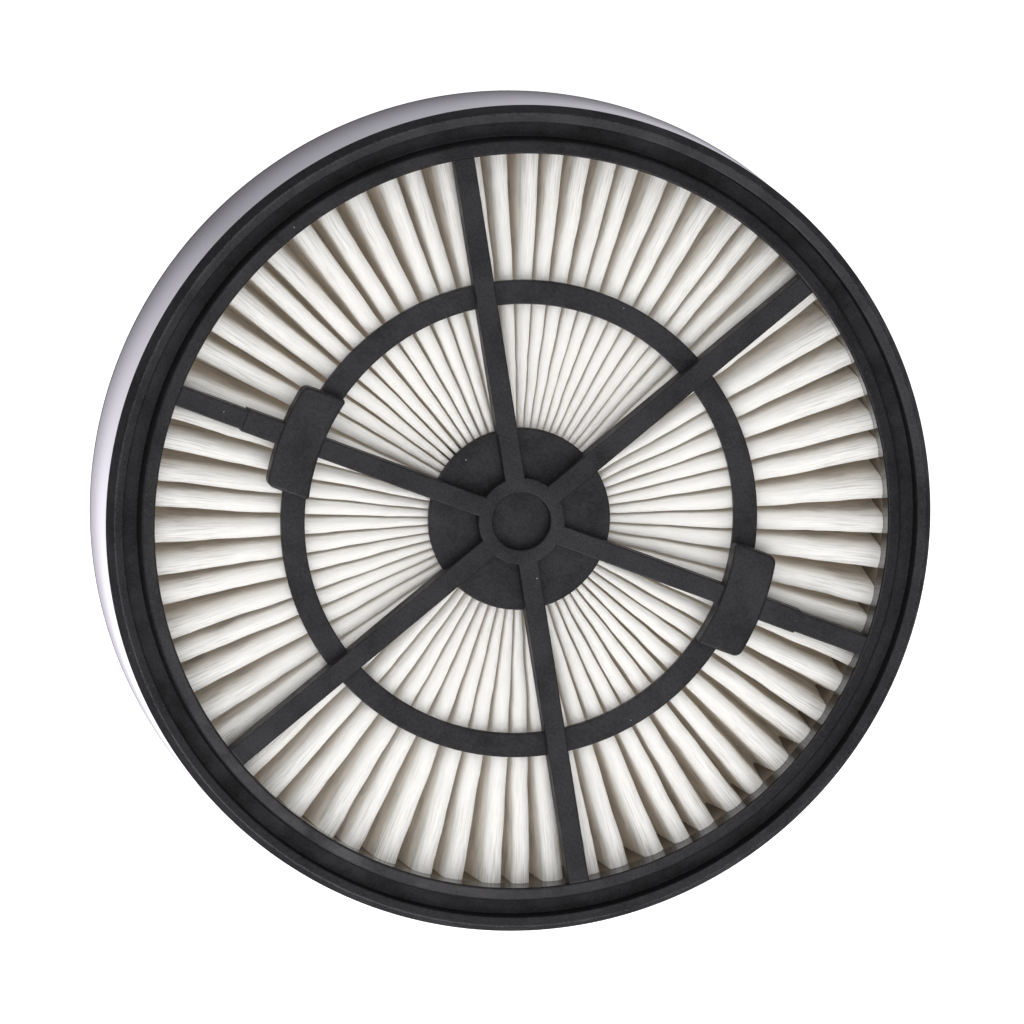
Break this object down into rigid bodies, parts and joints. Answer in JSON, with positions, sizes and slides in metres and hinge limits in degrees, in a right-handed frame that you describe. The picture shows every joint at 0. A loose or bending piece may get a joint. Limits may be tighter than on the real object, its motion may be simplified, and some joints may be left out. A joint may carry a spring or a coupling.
{
  "type": "cartridge filter",
  "caption": "Round cartridge filter: a disc of radial pleats in a deep black rim, crossed by spokes with a hub, a mid ring and finger tabs.",
  "frame": {"origin": "on the axis of the round rim, in the plane that its back edges rest on", "axes": "+Z along the axis, out of the face with the spokes; +X through one finger tab"},
  "size_m": [0.14, 0.14, 0.0255],
  "materials": {
    "black_plastic": "fine moulded grain",
    "pleated_sheet": "soft fibrous sheet, off-white",
    "hot_glue": "smooth, slightly cloudy"
  },
  "bodies": {
    "root": {"frame": "black_plastic", "pleated_media": "pleated_sheet", "core_plug": "black_plastic", "rim_glue_bead": "hot_glue", "core_glue_bead": "hot_glue"}
  },
  "joints": []
}
